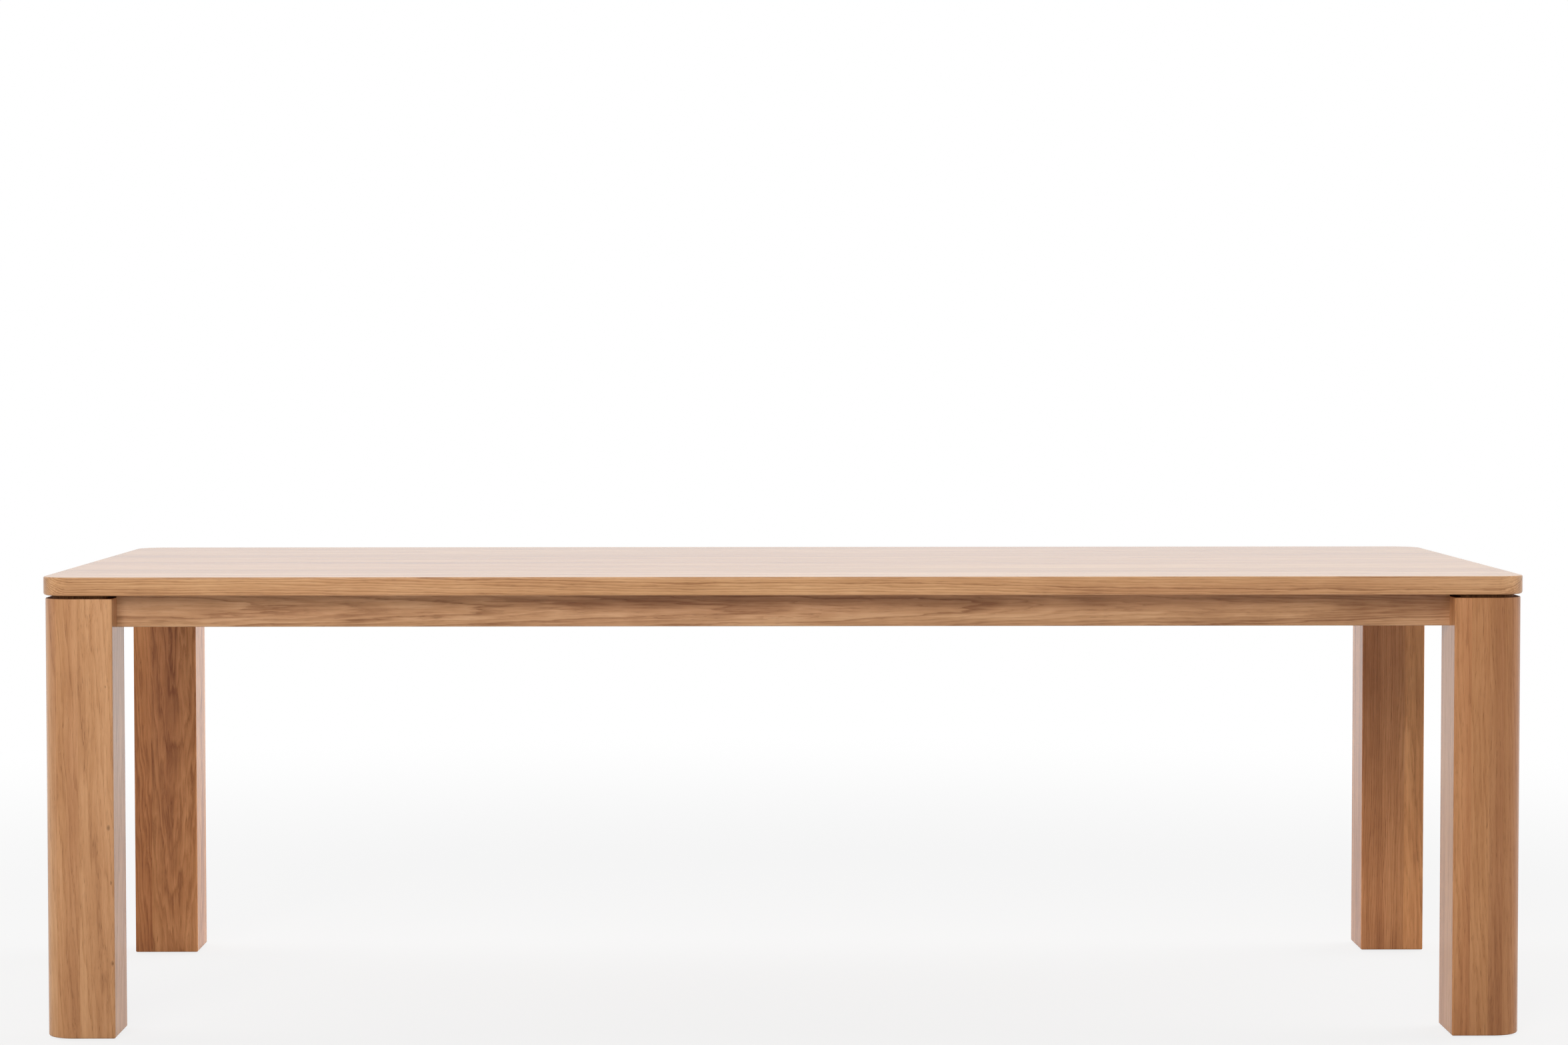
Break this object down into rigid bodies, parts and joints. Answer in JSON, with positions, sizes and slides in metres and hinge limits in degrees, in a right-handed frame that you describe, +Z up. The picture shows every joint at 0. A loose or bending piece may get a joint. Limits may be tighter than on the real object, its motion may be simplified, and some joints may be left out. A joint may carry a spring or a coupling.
{
  "type": "dining table",
  "caption": "Long rectangular oak dining table: flat board top with rounded corners, square legs with a round outer corner, shadow gap and slim set-back aprons.",
  "frame": {"origin": "on the floor, under the middle of the top", "axes": "+X along the table to the right as seen from the front, +Y across it to the rear, +Z up"},
  "size_m": [2.4, 1, 0.75],
  "materials": {
    "oak": "satin clear lacquer on oak",
    "bracket_steel": "black powder coat",
    "zinc_steel": "bright zinc plate",
    "glide_nylon": "moulded nylon"
  },
  "bodies": {
    "root": {"top_board_1": "oak", "top_board_2": "oak", "top_board_3": "oak", "top_board_4": "oak", "top_board_5": "oak", "top_board_6": "oak", "top_board_7": "oak", "top_board_8": "oak", "leg_front_left": "oak", "leg_front_right": "oak", "leg_rear_right": "oak", "leg_rear_left": "oak", "apron_front": "oak", "apron_right": "oak", "apron_rear": "oak", "apron_left": "oak", "cross_bearer_left": "oak", "cross_bearer_right": "oak", "corner_bracket_front_left": "bracket_steel", "corner_bracket_front_right": "bracket_steel", "corner_bracket_rear_right": "bracket_steel", "corner_bracket_rear_left": "bracket_steel", "hanger_bolts": "zinc_steel", "bolt_washers": "zinc_steel", "bolt_nuts": "zinc_steel", "bracket_screws": "zinc_steel", "top_clips": "zinc_steel", "clip_screws": "zinc_steel", "bearer_screws": "zinc_steel", "glide_front_left": "glide_nylon", "glide_front_right": "glide_nylon", "glide_rear_right": "glide_nylon", "glide_rear_left": "glide_nylon"}
  },
  "joints": []
}
